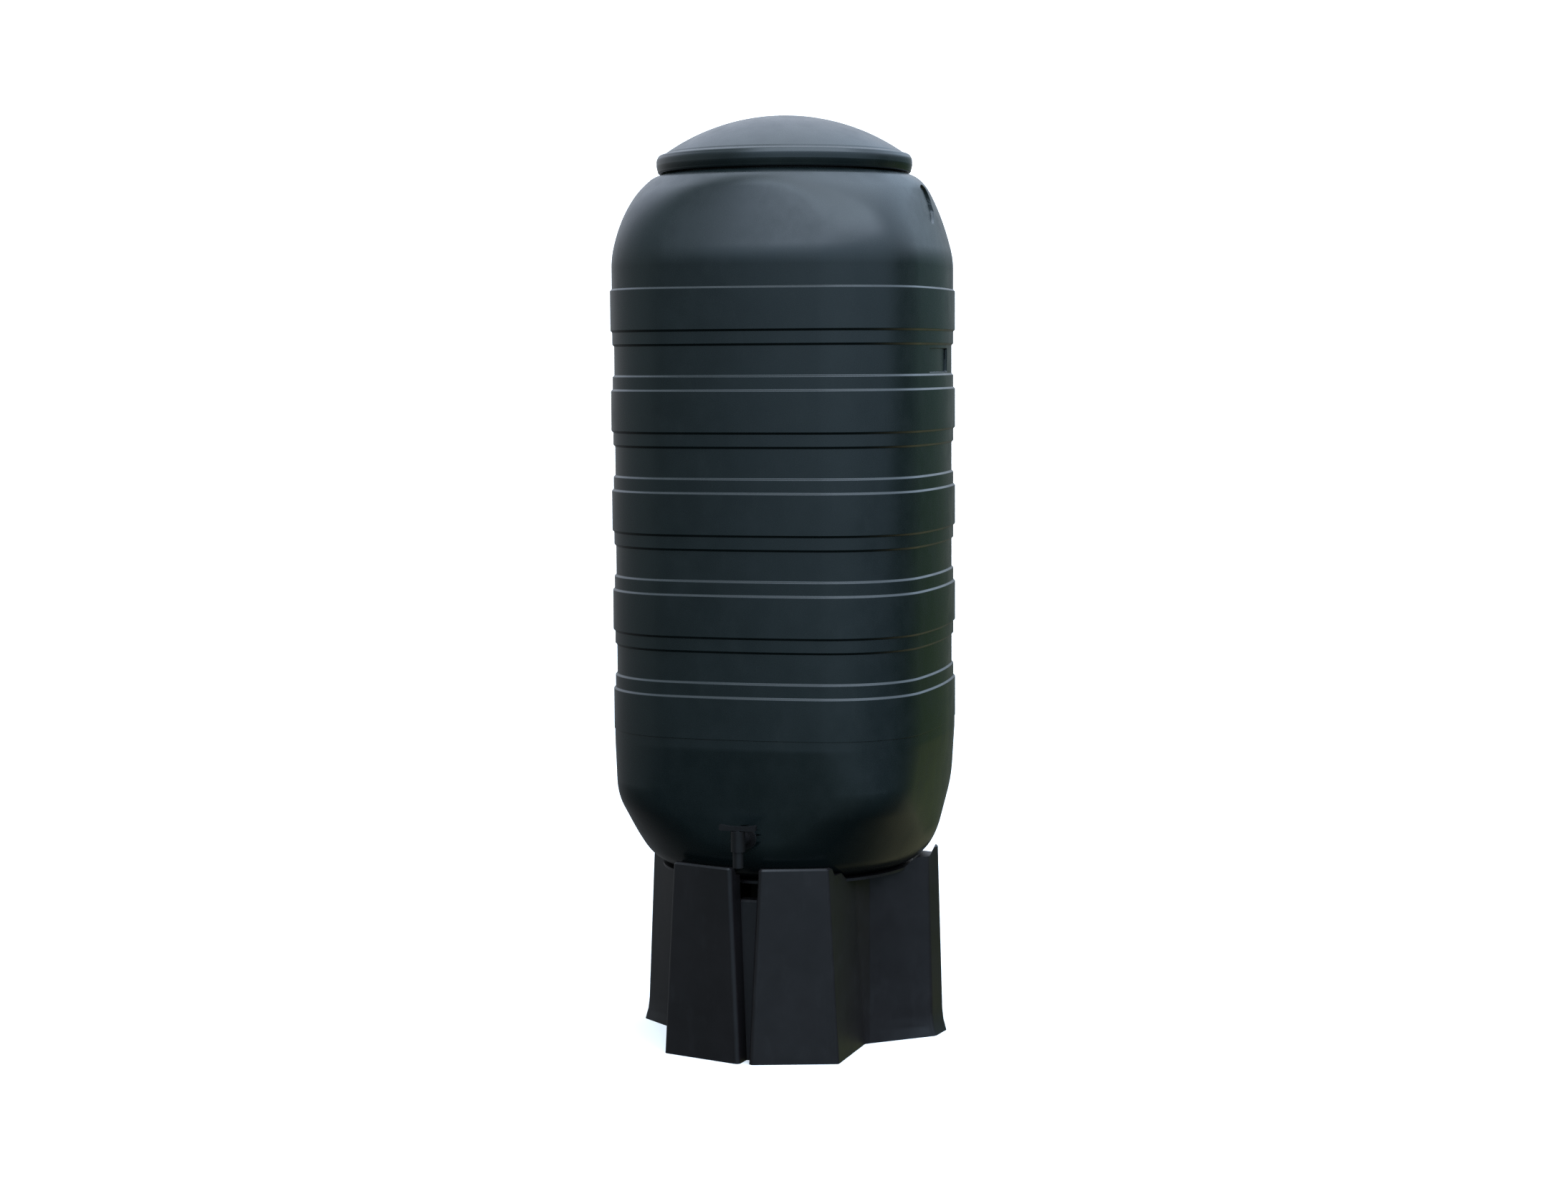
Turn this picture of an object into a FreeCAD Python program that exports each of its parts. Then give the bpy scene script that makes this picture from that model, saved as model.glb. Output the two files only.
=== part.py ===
import FreeCAD, Part
import math
import os

# Rain barrel with a round lid, a tap and a stand of six hollow legs.
# Lengths are in millimetres. +Z is up, z = 0 is the ground and the tap faces -Y.

# Heights called rise are measured from the barrel's bottom, which stands on the ledge.

# Barrel plan: four bowed sides joined by round corners
half_width = 265.0
side_radius = 985.0
corner_radius = 155.0
wall = 4.0

# Bands round the barrel wall, each between two small steps
band_count = 5
band_rise = 942.3
band_pitch = 160.6
band_height = 66.8
step_height = 22.4
step_depth = 2.9
ramp = 3.0

# Shoulder above the bands, which turns from the square plan to a circle at its top
shoulder_start_rise = 977.5
shoulder_side_bend = 120.0
shoulder_corner_bend = 165.0
shoulder_turn_radius = 40.0
shoulder_flat_inset = 70.0
shoulder_top_rise = 1129.0

# Base below the bands, which turns from the square plan to a circle at its bottom
base_inset = 1.0
base_side_rise = 220.5
base_side_bend = 80.0
base_corner_rise = 150.5
base_corner_bend = 80.0
base_turn_radius = 75.0
base_flat_inset = 90.0
section_count = 9

# Hand holds in the two side walls
grip_width = 126.0
grip_height = 36.0
grip_rise = 809.0
grip_depth = 28.0

# Round pads for an inlet in the two side shoulders
inlet_radius = 31.0
inlet_depth = 8.0
inlet_rise = 1077.5

# Neck and lid
neck_inset = 83.0
neck_wall = 5.0
neck_height = 30.0
neck_bead = 2.5
lid_overhang = 26.8
lid_gap_height = 2.0
lid_skirt_height = 8.5
lid_rim_radius = 23.0
lid_rim_wall = 2.8
lid_step_inset = 14.3
lid_lap = 7.0
lid_height = 94.0
lid_dome_rise = 61.1277
lid_wall = 3.0
seat_gap = 0.3

# Tap in the base
tap_rise = 75.5
tap_pad_radius = 21.0
tap_pad_inset = 17.5
tap_pad_depth = 10.0
washer_radius = 18.0
washer_thickness = 2.0
flange_radius = 17.0
flange_thickness = 5.0
shank_radius = 10.0
shank_bore = 6.0
shank_inside = 14.0
shank_clearance = 0.2
spout_length = 35.5
spout_radius = 8.4
spout_bore = 5.5
spout_drop = 40.0
tap_barrel_radius = 11.4
tap_barrel_drop = 14.0
plug_rise = 18.0
plug_radius = 5.0
plug_depth = 14.0
plug_clearance = 0.05
plug_floor_gap = 1.0
lever_length = 60.0
lever_height = 9.5
lever_thickness = 8.0
lever_waist_height = 7.0
lever_waist_length = 24.0
lever_edge = 1.5
lever_gap = 0.8
nut_radius = 16.0
nut_thickness = 7.0

# Stand: corners of the legs in plan, at the ground and at the height of the lips
stand_height = 312.0
lip_chamfer = 3.0
step_one_depth = 15.0
ledge_depth = 27.5
ledge_inset = 57.0
step_inset = 45.0
step_outer_inset = 26.0
lip_inset = 19.0
deck_hole_inset = 115.0
stand_wall = 4.5
leg_edge_radius = 7.0
side_edge_radius = 14.0
panel_drop = 27.5
panel_lip = 22.0
flare_reach = 6.0
flare_height = 36.0
groove_foot = (4.0, 29.0 - half_width)
groove_head = (17.0, 39.0 - half_width)
leg_inner_foot = (8.0, -3.0 - half_width)
leg_inner_head = (23.0, 7.4 - half_width)
leg_outer_foot = (half_width - 120.0, 39.0 - half_width)
leg_outer_head = (half_width - 137.0, 43.0 - half_width)
leg_rear_foot = (half_width - 112.0, -88.0)
leg_rear_head = (half_width - 121.0, -124.0)
side_edge_share = 0.7
side_root_foot = (half_width - 105.0, -81.0)
side_root_head = (half_width - 105.0, -80.0)
side_corner_foot = (half_width - 18.0, -4.0)
side_corner_head = (half_width - 28.0, 10.0)
side_rear_foot = (half_width - 9.0, 51.0)
side_rear_head = (half_width - 16.0, 51.0)

step_one_height = stand_height - step_one_depth
ledge_height = stand_height - ledge_depth
panel_height = ledge_height - panel_drop
band_top = ledge_height + band_rise
shoulder_start = ledge_height + shoulder_start_rise
shoulder_top = ledge_height + shoulder_top_rise
base_side_start = ledge_height + base_side_rise
base_corner_start = ledge_height + base_corner_rise
grip_bottom = ledge_height + grip_rise
inlet_height = ledge_height + inlet_rise
tap_height = ledge_height + tap_rise
spout_bottom = tap_height - spout_drop
plug_top = tap_height + plug_rise

neck_radius = half_width - neck_inset
lid_radius = neck_radius + lid_overhang
shoulder_flat_radius = half_width - shoulder_flat_inset
base_flat_radius = half_width - base_flat_inset
tap_pad_reach = half_width - tap_pad_inset
washer_face = tap_pad_reach + washer_thickness
flange_face = washer_face + flange_thickness
pad_inside = tap_pad_reach - tap_pad_depth
spout_reach = flange_face + spout_length
tap_barrel_bottom = tap_height - tap_barrel_drop

# The row's origin lies under the middle of the whole object, tap included
origin_shift = (spout_reach + tap_barrel_radius + leg_inner_foot[1]) / 2.0

UP = FreeCAD.Vector(0, 0, 1)
CENTRE = FreeCAD.Vector(0, 0, 0)
sides = {"right": 0.0, "back": 90.0, "left": 180.0, "front": 270.0}
corners = {"back_right": 0.0, "back_left": 90.0, "front_left": 180.0, "front_right": 270.0}

# Where the bowed sides and the round corners meet with one tangent
side_centre = half_width - side_radius
corner_centre = (side_centre + math.sqrt(2.0 * (side_radius - corner_radius) ** 2
                                         - side_centre ** 2)) / 2.0
side_angle = math.degrees(math.atan2(corner_centre, corner_centre - side_centre))
half_diagonal = math.sqrt(2.0) * corner_centre + corner_radius

wall_top = band_top + ramp / 2.0
wall_bottom = band_top - (band_count - 1) * band_pitch - band_height
wall_inset = 2.0 * step_depth + wall
neck_top = shoulder_top + neck_height
lid_bottom = shoulder_top + lid_gap_height
lid_top = lid_bottom + lid_height
lid_dome_reach = lid_radius - lid_step_inset
lid_dome_radius = (lid_dome_reach ** 2 + lid_dome_rise ** 2) / (2.0 * lid_dome_rise)


def turned(shape, angle):
    copy = shape.copy()
    copy.rotate(CENTRE, UP, angle)
    return copy


def mirrored(shape, normal):
    return shape.mirror(CENTRE, FreeCAD.Vector(*normal))


def fused(shapes):
    return shapes[0].multiFuse(shapes[1:]).removeSplitter()


def arc(centre, radius, start, end):
    points = []
    for angle in (start, (start + end) / 2.0, end):
        turn = math.radians(angle)
        points.append(centre + FreeCAD.Vector(math.cos(turn), math.sin(turn), 0) * radius)
    return Part.Arc(*points).toShape()


def wall_profile(radius):
    # Bands and small steps outside, one plain face inside
    half_ramp = ramp / 2.0
    outline = [(step_depth, wall_top)]
    for band in range(band_count):
        top = band_top - band * band_pitch
        bottom = top - band_height
        if band > 0:
            outline += [(2.0 * step_depth, top + step_height + half_ramp),
                        (step_depth, top + step_height - half_ramp),
                        (step_depth, top + half_ramp)]
        outline.append((0.0, top - half_ramp))
        if band < band_count - 1:
            outline += [(0.0, bottom + half_ramp),
                        (step_depth, bottom - half_ramp),
                        (step_depth, bottom - step_height + half_ramp),
                        (2.0 * step_depth, bottom - step_height - half_ramp)]
    outline += [(0.0, wall_bottom), (wall_inset, wall_bottom), (wall_inset, wall_top)]
    points = [FreeCAD.Vector(radius - inset, 0, z) for inset, z in outline]
    return Part.Face(Part.makePolygon(points + points[:1]))


class EndLine:
    # A line from the wall to a flat end: upright, bent inwards, straight, then turned flat
    def __init__(self, reach, start, bend, turn, flat_reach, end):
        self.way = 1.0 if end > start else -1.0
        self.reach = reach
        self.start = start
        self.turn = turn
        self.flat_reach = flat_reach
        self.end = end
        self.turn_start = abs(end - start) - turn
        # A larger bend than this would miss the turn
        room = ((reach - flat_reach) ** 2 + self.turn_start ** 2 - turn ** 2) / 2.0
        self.bend = min(bend, room / (reach - flat_reach - turn))
        self.bend_reach = reach - self.bend
        across = flat_reach - self.bend_reach
        share = (self.bend - turn) / math.hypot(across, self.turn_start)
        self.lean = math.atan2(self.turn_start, across) - math.acos(min(1.0, share))

    def at(self, z, depth):
        # The line's reach at a height, when the line is moved inwards by the depth
        rise = (z - self.start) * self.way
        bend = self.bend - depth
        turn = self.turn - depth
        bend_rise = bend * math.sin(self.lean)
        turn_rise = self.turn_start + turn * math.sin(self.lean)
        if rise <= 0.0:
            return self.reach - depth
        if rise <= bend_rise:
            return self.bend_reach + math.sqrt(bend ** 2 - rise ** 2)
        if rise <= turn_rise:
            return (self.bend_reach + bend * math.cos(self.lean)
                    - (rise - bend_rise) * math.tan(self.lean))
        return self.flat_reach + math.sqrt(max(0.0, turn ** 2 - (rise - self.turn_start) ** 2))


shoulder_side = EndLine(half_width - step_depth, shoulder_start, shoulder_side_bend,
                        shoulder_turn_radius, shoulder_flat_radius, shoulder_top)
shoulder_corner = EndLine(half_diagonal - step_depth, shoulder_start, shoulder_corner_bend,
                          shoulder_turn_radius, shoulder_flat_radius, shoulder_top)
base_side = EndLine(half_width - base_inset, base_side_start, base_side_bend,
                    base_turn_radius, base_flat_radius, ledge_height)
base_corner = EndLine(half_diagonal - base_inset, base_corner_start, base_corner_bend,
                      base_turn_radius, base_flat_radius, ledge_height)


def quarter_wire(side_reach, corner_reach, z):
    # A quarter of a plan whose sides and corners keep their tangents as they turn to a circle
    spread = math.sqrt(2.0) - 1.0 - math.tan(math.radians(side_angle) / 2.0)
    centre = (corner_reach - side_reach) / spread
    corner = corner_reach - math.sqrt(2.0) * centre
    side = corner + centre / math.sin(math.radians(side_angle))
    edges = [arc(FreeCAD.Vector(centre, -centre, z), corner, -45.0, -side_angle),
             arc(FreeCAD.Vector(side_reach - side, 0, z), side, -side_angle, side_angle),
             arc(FreeCAD.Vector(centre, centre, z), corner, side_angle, 45.0)]
    axis = FreeCAD.Vector(0, 0, z)
    edges.append(Part.makeLine(edges[-1].lastVertex().Point, axis))
    edges.append(Part.makeLine(axis, edges[0].firstVertex().Point))
    return Part.Wire(edges)


def quarter_block(side, corner, join, depth):
    # The solid quarter inside the two lines, moved inwards by the depth
    end = side.end - side.way * depth
    heights = [join]
    for step in range(section_count + 1):
        heights.append(side.start + (end - side.start) * math.sin(math.pi / 2.0 * step / section_count))
    return Part.makeLoft([quarter_wire(side.at(z, depth), corner.at(z, depth), z) for z in heights], True)


def end_quarter(side, corner, join):
    # One side of the shoulder or of the base, with half a corner at each end
    shell = quarter_block(side, corner, join, 0.0).cut(quarter_block(side, corner, join, wall))
    flat = Part.makeCylinder(side.flat_reach, 2.0 * wall, FreeCAD.Vector(0, 0, side.end - wall))
    return shell.cut(flat).removeSplitter()


def swept(profile, centre, start, sweep):
    # A wall profile carried round one arc of the plan
    profile.rotate(CENTRE, UP, start)
    profile.translate(centre)
    return profile.revolve(centre, UP, sweep)


def side_piece(profile):
    return swept(profile, FreeCAD.Vector(side_centre, 0, 0), -side_angle, 2.0 * side_angle)


def corner_piece(profile, start, end):
    return swept(profile, FreeCAD.Vector(corner_centre, corner_centre, 0), start, end - start)


def wall_side():
    return side_piece(wall_profile(side_radius))


def grip_box(grow, front):
    back = half_width - 2.0 * step_depth - grip_depth - grow
    return Part.makeBox(front - back, grip_width + 2.0 * grow, grip_height + 2.0 * grow,
                        FreeCAD.Vector(back, -grip_width / 2.0 - grow, grip_bottom - grow))


def wall_with_grip():
    wall_middle = half_width - wall_inset + wall / 2.0
    cupped = wall_side().fuse(grip_box(wall, wall_middle))
    return cupped.cut(grip_box(0.0, half_width)).removeSplitter()


def shoulder_with_inlet():
    # A round pad sunk square to the shoulder's slope
    out = FreeCAD.Vector(math.cos(shoulder_side.lean), 0, math.sin(shoulder_side.lean))
    face = FreeCAD.Vector(shoulder_side.at(inlet_height, 0.0), 0, inlet_height)
    cup = Part.makeCylinder(inlet_radius + wall, inlet_depth + wall / 2.0,
                            face - out * (inlet_depth + wall), out)
    hollow = Part.makeCylinder(inlet_radius, inlet_depth + wall, face - out * inlet_depth, out)
    shoulder = end_quarter(shoulder_side, shoulder_corner, wall_top)
    return shoulder.fuse(cup).cut(hollow).removeSplitter()


def base_with_tap_pad():
    # An upright pad on the front of the base, sunk at its top, with a bore for the tap
    base = turned(end_quarter(base_side, base_corner, wall_bottom), sides["front"])
    pad = forward(tap_pad_radius, pad_inside, tap_pad_reach, tap_height)
    sunk = forward(tap_pad_radius, tap_pad_reach, half_width, tap_height)
    bore = forward(shank_radius, 0.0, half_width, tap_height)
    return base.fuse(pad).cut(sunk).cut(bore).removeSplitter()


def ring(outer, inner, bottom, top):
    tube = Part.makeCylinder(outer, top - bottom, CENTRE + UP * bottom)
    return tube.cut(Part.makeCylinder(inner, top - bottom, CENTRE + UP * bottom))


def neck():
    tube = ring(neck_radius, neck_radius - neck_wall, shoulder_top, neck_top)
    middle = (shoulder_top + neck_top) / 2.0
    bead = ring(neck_radius + neck_bead, neck_radius - neck_wall / 2.0, middle, middle + 2.0 * neck_bead)
    return tube.fuse(bead).removeSplitter()


def lid_cap(radius, reach):
    # The part of a ball about the dome's centre that lies within the reach
    centre = FreeCAD.Vector(0, 0, lid_top - lid_dome_radius)
    column = Part.makeCylinder(reach, lid_top - lid_bottom, CENTRE + UP * lid_bottom)
    return Part.makeSphere(radius, centre).common(column)


def lid_dome():
    solid = lid_cap(lid_dome_radius, lid_dome_reach)
    shell = solid.cut(lid_cap(lid_dome_radius - lid_wall, lid_dome_reach))
    seat = ring(neck_radius, neck_radius - 2.0 * neck_wall, neck_top + seat_gap, lid_top)
    return shell.fuse(seat.common(solid)).removeSplitter()


def lid_rim():
    # A rolled edge that laps under the dome and ends in an upright skirt
    bend_height = lid_bottom + lid_skirt_height
    middle = lid_radius - lid_rim_radius
    lap_reach = lid_dome_reach - lid_lap

    def line(radius):
        # The section's line at this radius, with the angle at which it passes the lap's end
        last = math.acos((lap_reach - middle) / radius)

        def point(angle):
            return FreeCAD.Vector(middle + radius * math.cos(angle), 0,
                                  bend_height + radius * math.sin(angle))

        foot = FreeCAD.Vector(middle + radius, 0, lid_bottom)
        return foot, point(0.0), point(last / 2.0), point(last)

    outer = line(lid_rim_radius)
    inner = line(lid_rim_radius - lid_rim_wall)
    edges = [Part.makeLine(outer[0], outer[1]), Part.Arc(*outer[1:]).toShape(),
             Part.makeLine(outer[3], inner[3]), Part.Arc(*inner[:0:-1]).toShape(),
             Part.makeLine(inner[1], inner[0]), Part.makeLine(inner[0], outer[0])]
    rim = Part.Face(Part.Wire(edges)).revolve(CENTRE, UP, 360.0)
    return rim.cut(lid_cap(lid_dome_radius, lid_dome_reach))


def forward(radius, start, end, height):
    # A round bar along Y, from one distance in front of the barrel's axis to another
    return Part.makeCylinder(radius, end - start, FreeCAD.Vector(0, -start, height),
                             FreeCAD.Vector(0, -1, 0))


def upright(radius, bottom, top):
    return Part.makeCylinder(radius, top - bottom, FreeCAD.Vector(0, -spout_reach, bottom))


def tap_washer():
    washer = forward(washer_radius, tap_pad_reach, washer_face, tap_height)
    return washer.cut(forward(shank_radius, tap_pad_reach, washer_face, tap_height))


def tap_body():
    flange = forward(flange_radius, washer_face, flange_face, tap_height)
    shank = forward(shank_radius - shank_clearance, pad_inside - shank_inside, washer_face, tap_height)
    neck_bar = forward(shank_radius, flange_face, spout_reach, tap_height)
    barrel = upright(tap_barrel_radius, tap_barrel_bottom, plug_top)
    water_way = forward(shank_bore, pad_inside - shank_inside, spout_reach, tap_height)
    plug_hole = upright(plug_radius + plug_clearance, plug_top - plug_depth, plug_top)
    spout_way = upright(spout_bore, tap_barrel_bottom, tap_height)
    return fused([flange, shank, neck_bar, barrel]).cut(fused([water_way, spout_way])).cut(plug_hole)


def tap_spout():
    outer = upright(spout_radius, spout_bottom, tap_barrel_bottom)
    return outer.cut(upright(spout_bore, spout_bottom, tap_barrel_bottom))


def tap_lever():
    # A flat bar whose ends rise above its waist, on the plug that it turns
    half = lever_length / 2.0
    waist = lever_waist_length / 2.0
    bottom = plug_top + lever_gap
    top = bottom + lever_height
    low = bottom + lever_waist_height
    middle = (half + waist) / 2.0

    def place(x, z):
        return FreeCAD.Vector(x, -spout_reach - lever_thickness / 2.0, z)

    def wave(sign):
        rise = Part.BSplineCurve()
        rise.interpolate([place(sign * (half - lever_edge), top), place(sign * middle, (top + low) / 2.0),
                          place(sign * waist, low)])
        return rise.toShape()

    edges = [wave(1.0), wave(-1.0), Part.makeLine(place(waist, low), place(-waist, low)),
             Part.makeLine(place(half - lever_edge, bottom), place(lever_edge - half, bottom))]
    for sign in (1.0, -1.0):
        tip = [place(sign * (half - lever_edge), bottom), place(sign * half, bottom + lever_edge),
               place(sign * half, top - lever_edge), place(sign * (half - lever_edge), top)]
        edges += [Part.makeLine(first, second) for first, second in zip(tip, tip[1:])]
    outline = Part.Wire(Part.sortEdges(edges)[0])
    bar = Part.Face(outline).extrude(FreeCAD.Vector(0, lever_thickness, 0))
    plug = upright(plug_radius, plug_top - plug_depth + plug_floor_gap, bottom)
    return bar.fuse(plug).removeSplitter()


def tap_nut():
    # The hexagon nut that pulls the tap tight from inside
    points = []
    for corner in range(7):
        turn = math.radians(60.0 * corner)
        points.append(FreeCAD.Vector(nut_radius * math.cos(turn), -pad_inside, tap_height
                                     + nut_radius * math.sin(turn)))
    nut = Part.Face(Part.makePolygon(points)).extrude(FreeCAD.Vector(0, nut_thickness, 0))
    return nut.cut(forward(shank_radius, pad_inside - nut_thickness, pad_inside, tap_height))


class Corner:
    # A leaning corner of the stand, with how far it flares out at the ground
    def __init__(self, foot, head, flare=0.0):
        self.foot = FreeCAD.Vector(foot[0], foot[1], 0)
        self.head = FreeCAD.Vector(head[0], head[1], stand_height)
        self.flare = flare

    def at(self, z):
        place = self.foot + (self.head - self.foot) * (z / stand_height)
        rise = max(0.0, 1.0 - z / flare_height)
        return place + FreeCAD.Vector(self.flare * rise ** 2, 0, 0)

    def towards(self, other, share):
        # A corner part of the way to another one
        foot = self.foot + (other.foot - self.foot) * share
        head = self.head + (other.head - self.head) * share
        return Corner((foot.x, foot.y), (head.x, head.y))

    def across(self):
        # The same corner on the other side of x = 0
        return Corner((-self.foot.x, self.foot.y), (-self.head.x, self.head.y), -self.flare)

    def behind(self):
        # The same corner on the other side of y = 0
        return Corner((self.foot.x, -self.foot.y), (self.head.x, -self.head.y), self.flare)


groove = Corner(groove_foot, groove_head)
leg_inner = Corner(leg_inner_foot, leg_inner_head)
leg_outer = Corner(leg_outer_foot, leg_outer_head)
leg_rear = Corner(leg_rear_foot, leg_rear_head)
side_root = Corner(side_root_foot, side_root_head)
side_back = leg_rear.towards(side_root, side_edge_share)
side_corner = Corner(side_corner_foot, side_corner_head, flare_reach)
side_rear = Corner(side_rear_foot, side_rear_head, flare_reach)


def inset_path(points, depth):
    # A path in plan moved to its left, with mitred corners
    normals = []
    for first, second in zip(points, points[1:]):
        way = (second - first).normalize()
        normals.append(FreeCAD.Vector(-way.y, way.x, 0))
    moved = []
    for index, point in enumerate(points):
        before = normals[max(index - 1, 0)]
        after = normals[min(index, len(normals) - 1)]
        moved.append(point + (before + after) * (depth / (1.0 + before.dot(after))))
    return moved


def rounded(points, radii):
    # A path of straight runs whose corners are rounded
    edges = []
    start = points[0]
    for index, radius in enumerate(radii, 1):
        corner = points[index]
        back = (points[index - 1] - corner).normalize()
        ahead = (points[index + 1] - corner).normalize()
        half = back.getAngle(ahead) / 2.0
        reach = radius / math.tan(half)
        middle = (back + ahead).normalize() * (radius / math.sin(half) - radius)
        edges.append(Part.makeLine(start, corner + back * reach))
        edges.append(Part.Arc(corner + back * reach, corner + middle, corner + ahead * reach).toShape())
        start = corner + ahead * reach
    edges.append(Part.makeLine(start, points[-1]))
    return edges


def ruled(wires):
    return Part.makeLoft(wires, True, True)


foot_levels = [0.0, flare_height / 2.0, flare_height, ledge_height - stand_wall]
top_levels = [(stand_height - lip_chamfer, 0.0), (stand_height, lip_chamfer)]


def leg_outside(path, radii, levels):
    # The whole block of a leg, its ends cut on the mitres that it shares with its neighbours
    wires = []
    for z, inset in levels:
        points = [corner.at(z) for corner in path]
        mitres = inset_path(points, stand_wall)[1:-1]
        front = inset_path(points, inset)[1:-1]
        edges = rounded(front, [radius - inset for radius in radii])
        loop = [front[-1], mitres[-1], mitres[0], front[0]]
        edges += [Part.makeLine(first, second) for first, second in zip(loop, loop[1:])]
        wires.append(Part.Wire(edges))
    return ruled(wires)


def leg_inside(path, radii, levels):
    # The hollow of a leg, running out behind it
    wires = []
    for z in levels:
        points = [corner.at(z) for corner in path[1:-1]]
        first = points[0] + (points[0] - points[1]).normalize() * stand_wall * 8.0
        last = points[-1] + (points[-1] - points[-2]).normalize() * stand_wall * 8.0
        inner = inset_path([first] + points[1:-1] + [last], stand_wall)
        edges = rounded(inner, [radius - stand_wall for radius in radii])
        edges.append(Part.makeLine(inner[-1], inner[0]))
        wires.append(Part.Wire(edges))
    return ruled(wires)


def seat_space(grow):
    # The round space above the stepped seat that the barrel stands in, its faces moved out by grow
    steps = [(ledge_inset, ledge_height - grow), (step_inset, step_one_height - grow),
             (step_outer_inset, step_one_height - grow), (lip_inset, stand_height - grow),
             (lip_inset, stand_height + stand_wall)]
    points = [FreeCAD.Vector(0, 0, ledge_height - grow)]
    points += [FreeCAD.Vector(half_width - inset + grow, 0, z) for inset, z in steps]
    points.append(FreeCAD.Vector(0, 0, stand_height + stand_wall))
    return Part.Face(Part.makePolygon(points + points[:1])).revolve(CENTRE, UP, 360.0)


def leg(path, radii):
    # A hollow leg, open below and behind, with the stepped ledge as its top
    outside = leg_outside(path, radii, [(z, 0.0) for z in foot_levels] + top_levels)
    inside = leg_inside(path, radii, foot_levels + [stand_height - stand_wall])
    hollow = inside.cut(seat_space(stand_wall))
    deck_space = Part.makeCylinder(half_width - ledge_inset, stand_height, UP * (ledge_height - stand_wall))
    return outside.cut(hollow).cut(seat_space(0.0)).cut(deck_space)


def front_leg():
    return leg([groove.across(), groove, leg_inner, leg_outer, leg_rear, side_back],
               [leg_edge_radius, leg_edge_radius])


def side_leg():
    half = [leg_rear, side_back, side_root]
    return leg(half + [side_corner, side_rear] + [corner.behind() for corner in half[::-1]],
               [leg_edge_radius, side_edge_radius, side_edge_radius, leg_edge_radius])


def panel(path, levels):
    # A wall between two corners, mitred to what lies before and after it
    wires = []
    for z, inset in levels:
        points = [corner.at(z) for corner in path]
        loop = inset_path(points, inset)[1:-1] + inset_path(points, stand_wall)[-2:0:-1]
        wires.append(Part.makePolygon(loop + loop[:1]))
    return ruled(wires)


def groove_panel():
    # The panel's top is turned inwards as a lip
    path = [leg_inner.across(), groove.across(), groove, leg_inner]
    heights = [(z, 0.0) for z in foot_levels[:-1]]
    heights += [(panel_height - lip_chamfer, 0.0), (panel_height, lip_chamfer)]
    upright_wall = panel(path, heights)
    points = [corner.at(panel_height) for corner in path]
    loop = inset_path(points, lip_chamfer)[1:-1]
    loop += [loop[1] + FreeCAD.Vector(0, panel_lip, 0), loop[0] + FreeCAD.Vector(0, panel_lip, 0)]
    lip = Part.Face(Part.makePolygon(loop + loop[:1])).extrude(UP * -stand_wall)
    return upright_wall.fuse(lip).removeSplitter()


def corner_panel():
    return panel([leg_outer, leg_rear, side_back, side_root], [(z, 0.0) for z in foot_levels])


def stand_deck():
    bottom = ledge_height - stand_wall
    return ring(half_width - ledge_inset, half_width - deck_hole_inset, bottom, ledge_height)


def barrel_pieces():
    pieces = {}
    plain = wall_side()
    gripped = wall_with_grip()
    corner = corner_piece(wall_profile(corner_radius), side_angle, 90.0 - side_angle)
    shoulder = end_quarter(shoulder_side, shoulder_corner, wall_top)
    inlet = shoulder_with_inlet()
    base = end_quarter(base_side, base_corner, wall_bottom)
    for name, turn in sides.items():
        on_side = name in ("left", "right")
        pieces["wall_" + name] = turned(gripped if on_side else plain, turn)
        pieces["shoulder_" + name] = turned(inlet if on_side else shoulder, turn)
        pieces["base_" + name] = turned(base, turn)
    pieces["base_front"] = base_with_tap_pad()
    for name, turn in corners.items():
        pieces["wall_corner_" + name] = turned(corner, turn)
    pieces["shoulder_plate"] = ring(shoulder_flat_radius, neck_radius - neck_wall,
                                    shoulder_top - wall, shoulder_top)
    pieces["barrel_floor"] = Part.makeCylinder(base_flat_radius, wall, CENTRE + UP * ledge_height)
    pieces["neck_ring"] = neck()
    return pieces


def stand_pieces():
    pieces = {"stand_deck": stand_deck()}
    leg_right = front_leg()
    panel_right = corner_panel()
    across = (1, 0, 0)
    along = (0, 1, 0)
    pieces["stand_leg_front_right"] = leg_right
    pieces["stand_leg_front_left"] = mirrored(leg_right, across)
    pieces["stand_leg_back_right"] = mirrored(leg_right, along)
    pieces["stand_leg_back_left"] = turned(leg_right, 180.0)
    pieces["stand_corner_front_right"] = panel_right
    pieces["stand_corner_front_left"] = mirrored(panel_right, across)
    pieces["stand_corner_back_right"] = mirrored(panel_right, along)
    pieces["stand_corner_back_left"] = turned(panel_right, 180.0)
    pieces["stand_leg_right"] = side_leg()
    pieces["stand_leg_left"] = mirrored(side_leg(), across)
    pieces["stand_groove_front"] = groove_panel()
    pieces["stand_groove_back"] = turned(groove_panel(), 180.0)
    return pieces


def tap_pieces():
    return {"tap_washer": tap_washer(), "tap_body": tap_body(), "tap_spout": tap_spout(),
            "tap_lever": tap_lever(), "tap_nut": tap_nut()}


def main():
    os.makedirs("parts", exist_ok=True)
    pieces = barrel_pieces()
    pieces.update(stand_pieces())
    pieces.update(tap_pieces())
    pieces["lid_dome"] = lid_dome()
    pieces["lid_rim"] = lid_rim()
    for name, shape in pieces.items():
        shape.translate(FreeCAD.Vector(0, origin_shift, 0))
        shape.exportStep("parts/" + name + ".step")


main()
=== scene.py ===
import math

import bpy
import numpy as np
from mathutils import Matrix, Vector


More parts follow.
